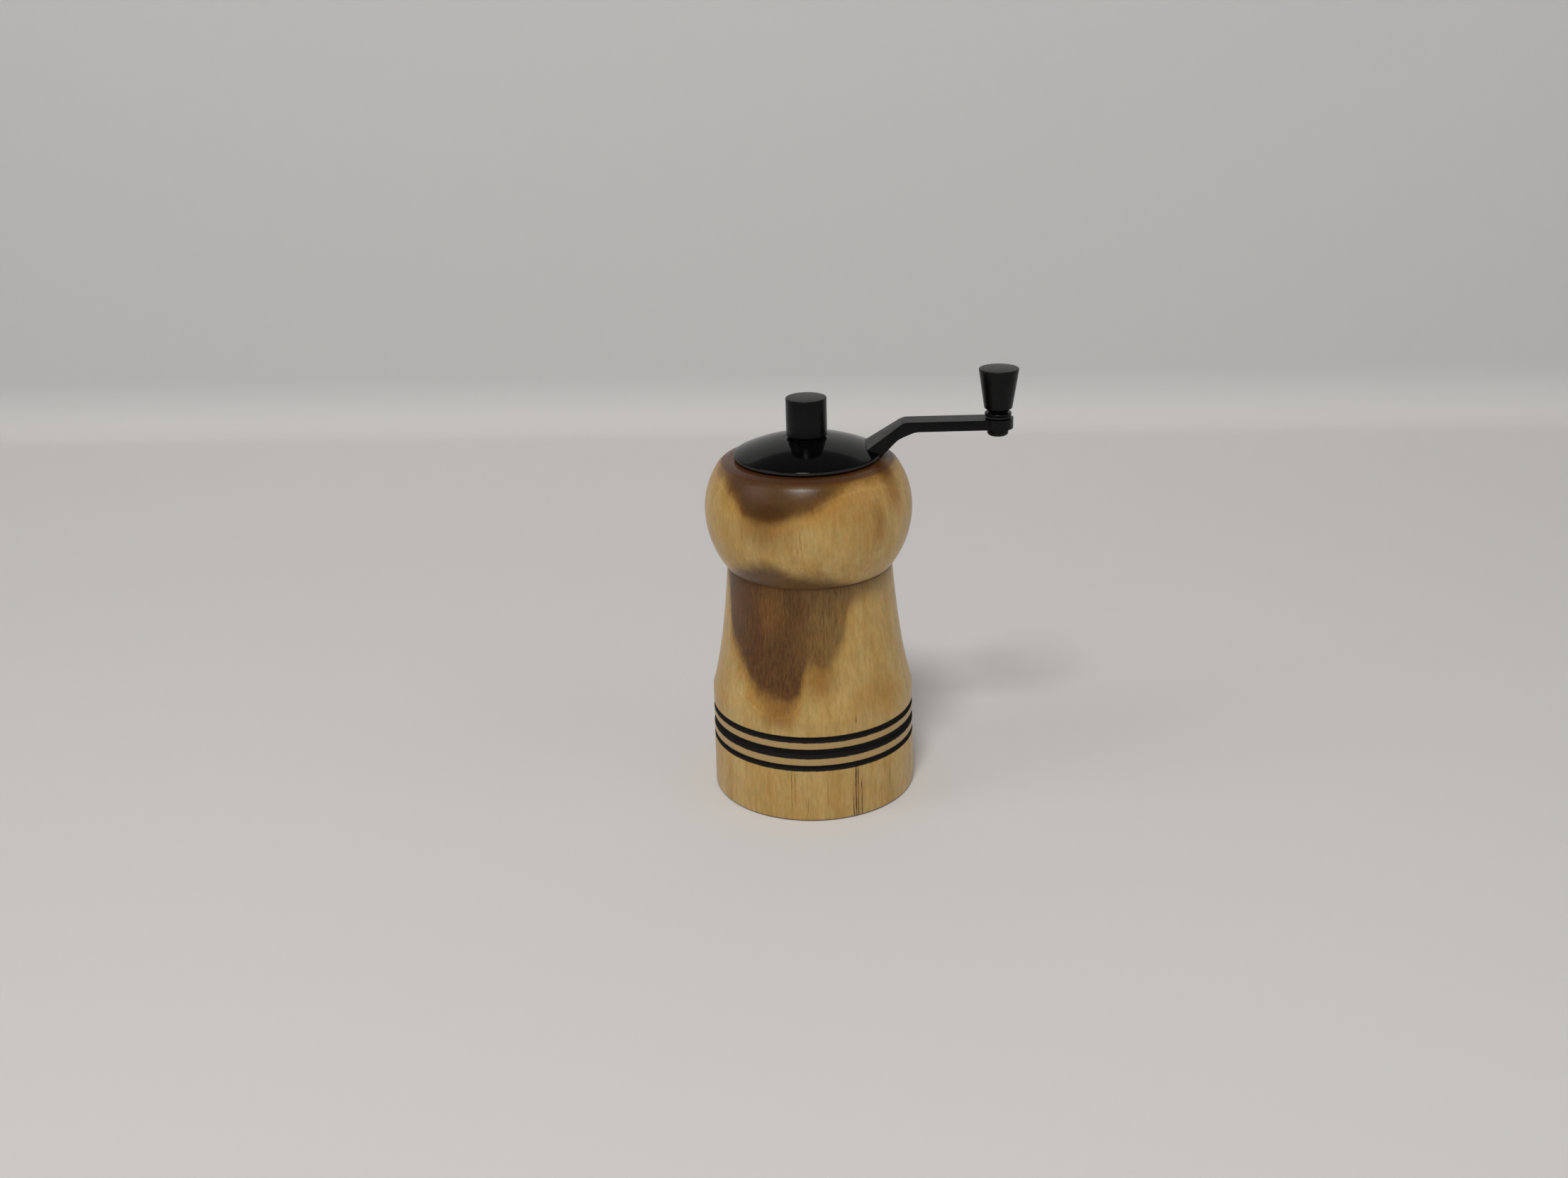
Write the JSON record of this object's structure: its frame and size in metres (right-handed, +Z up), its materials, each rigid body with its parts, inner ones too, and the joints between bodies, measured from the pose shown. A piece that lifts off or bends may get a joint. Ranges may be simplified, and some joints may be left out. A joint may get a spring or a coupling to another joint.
{
  "type": "hand-crank burr mill",
  "caption": "Turned wooden hand-crank burr mill with a black domed metal cap, a cranked arm with a tapered knob, a grind-adjusting knob and a burr set in the base.",
  "frame": {"origin": "centre of the whole object's footprint, on the surface it stands on; the mill's turning axis stands at X = -15.65 mm, Y = 0", "axes": "+Z up along the mill's turning axis, +X from the turning axis towards the crank knob at rest, +Y to the back"},
  "size_m": [0.0952, 0.064, 0.1331],
  "materials": {
    "wood": "satin oiled, stained and figured",
    "gloss_black": "gloss",
    "satin_black": "satin",
    "nylon": "matte",
    "steel": "machined",
    "aluminium": "satin",
    "brass": "machined"
  },
  "bodies": {
    "mill_body": {"lower_body": "wood", "head": "wood", "mouth_collar": "nylon", "burr_housing": "aluminium", "housing_screw_1": "steel", "housing_screw_2": "steel", "housing_screw_3": "steel", "stator_burr": "steel", "shaft_bushing": "nylon"},
    "thrust_seat": {"spring_seat": "steel"},
    "burr_shaft": {"drive_shaft": "aluminium", "rotor_burr": "steel", "rotor_washer": "steel", "rotor_nut": "steel", "pressure_spring": "steel"},
    "crank_cap": {"cap_dome": "gloss_black", "drive_plate": "steel", "plate_screw_1": "steel", "plate_screw_2": "steel", "crank_arm": "satin_black", "knob_washer": "nylon"},
    "grind_knob": {"adjusting_knob": "satin_black", "knob_insert": "brass"},
    "crank_handle": {"crank_knob": "satin_black", "knob_pin": "satin_black", "knob_collar": "satin_black"}
  },
  "joints": [
    {"name": "crank_spin", "type": "hinge", "parent": "mill_body", "child": "thrust_seat", "pos_m": [-0.01565, 0, 0.0308], "axis": [0, 0, 1], "continuous": true},
    {"name": "burr_gap", "type": "slide", "parent": "thrust_seat", "child": "burr_shaft", "axis": [0, 0, 1], "range_m": [-0.0011, 0.0011], "deforming": ["pressure_spring"]},
    {"name": "cap_lift", "type": "slide", "parent": "thrust_seat", "child": "crank_cap", "axis": [0, 0, 1], "range_m": [0, 0.04]},
    {"name": "grind_adjust", "type": "hinge", "parent": "crank_cap", "child": "grind_knob", "pos_m": [-0.01565, 0, 0.12], "axis": [0, 0, -1], "range_deg": [-360, 360]},
    {"name": "crank_knob_spin", "type": "hinge", "parent": "crank_cap", "child": "crank_handle", "pos_m": [0.04165, 0, 0.12], "axis": [0, 0, 1], "continuous": true}
  ],
  "couplings": [
    {"joint": "burr_gap", "follows": "grind_adjust", "m_per_rad": 0.00016843}
  ]
}
